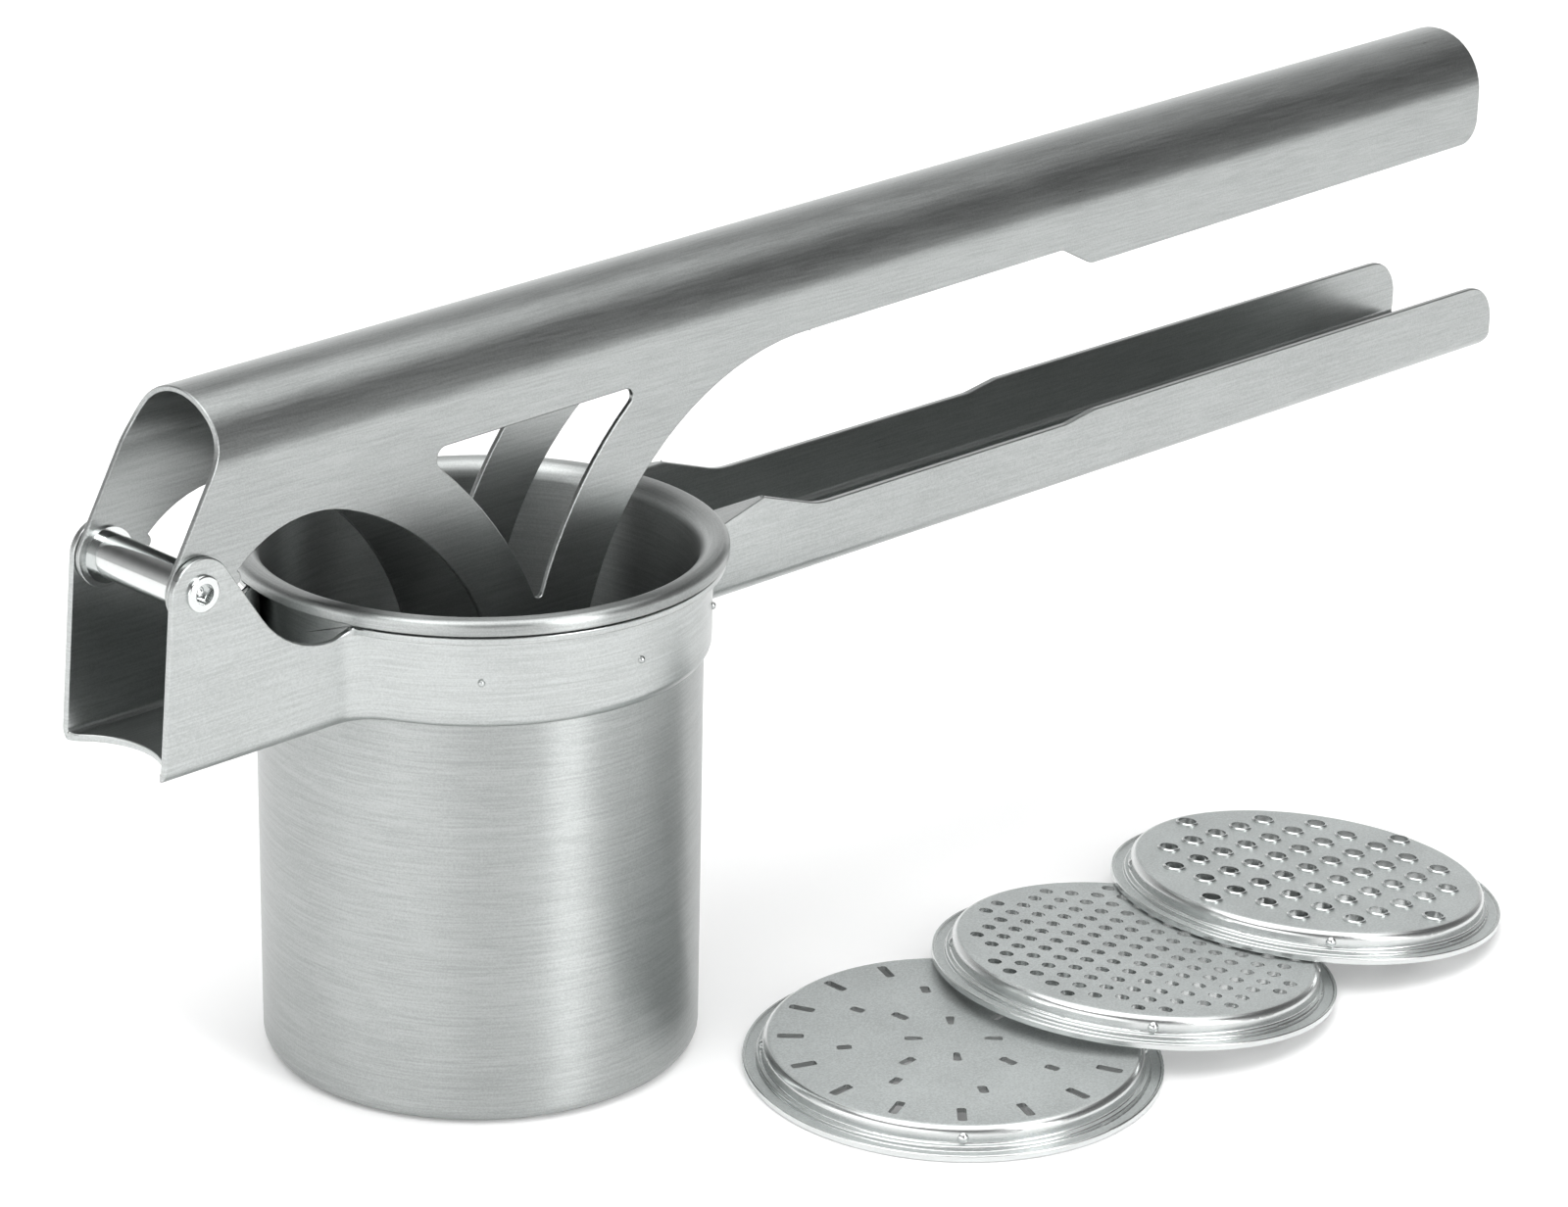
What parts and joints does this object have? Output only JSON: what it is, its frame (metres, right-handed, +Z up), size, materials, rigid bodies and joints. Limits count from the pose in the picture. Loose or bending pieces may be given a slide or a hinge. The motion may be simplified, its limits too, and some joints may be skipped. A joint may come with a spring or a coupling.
{
  "type": "potato ricer",
  "caption": "Stainless potato ricer: a round press cup in a sheet frame with a channel handle, a hinged lever with a plunger inside the cup, and loose sieve discs beside it.",
  "frame": {"origin": "on the cup's axis, in the plane of the cup's foot, at the centre of the disc opening", "axes": "+X along the handles, away from the hinge; +Z up along the cup's axis; -Y is the side with the loose discs"},
  "size_m": [0.4248, 0.1793, 0.1682],
  "materials": {
    "cup_steel": "brushed around the cup",
    "frame_steel": "satin brushed stainless sheet",
    "lever_steel": "satin stainless, brushed lengthwise",
    "polished_pin": "polished",
    "plunger_steel": "brushed stainless sheet",
    "disc_steel": "fine matt top with bright pressed edges"
  },
  "bodies": {
    "frame": {"press_cup": "cup_steel", "yoke_frame": "frame_steel", "lever_rivet": "polished_pin"},
    "lever": {"lever": "lever_steel", "lever_sleeve": "polished_pin", "lever_washer_near": "polished_pin", "lever_washer_far": "polished_pin", "plunger_rivet": "polished_pin"},
    "plunger": {"plunger_bracket": "plunger_steel", "plunger_plate": "plunger_steel", "plate_rivets": "polished_pin", "plunger_sleeve": "polished_pin", "plunger_washer_near": "polished_pin", "plunger_washer_far": "polished_pin"},
    "slotted_disc": {"slotted_disc": "disc_steel"},
    "fine_disc": {"fine_disc": "disc_steel"},
    "coarse_disc": {"coarse_disc": "disc_steel"}
  },
  "joints": [
    {"name": "lever_hinge", "type": "hinge", "parent": "frame", "child": "lever", "pos_m": [-0.0836, 0, 0.1235], "axis": [0, -1, 0], "range_deg": [0, 100]},
    {"name": "plunger_hinge", "type": "hinge", "parent": "lever", "child": "plunger", "pos_m": [0.0035, 0, 0.077], "axis": [0, -1, 0], "range_deg": [-100, 0]},
    {"name": "slotted_disc_slide", "type": "slide", "parent": "frame", "child": "slotted_disc", "axis": [0, -1, 0], "range_m": [0, 0.1]},
    {"name": "fine_disc_slide", "type": "slide", "parent": "frame", "child": "fine_disc", "axis": [0, -1, 0], "range_m": [0, 0.1]},
    {"name": "coarse_disc_slide", "type": "slide", "parent": "frame", "child": "coarse_disc", "axis": [0, -1, 0], "range_m": [0, 0.1]}
  ],
  "couplings": [
    {"joint": "plunger_hinge", "follows": "lever_hinge", "ratio": -1}
  ]
}
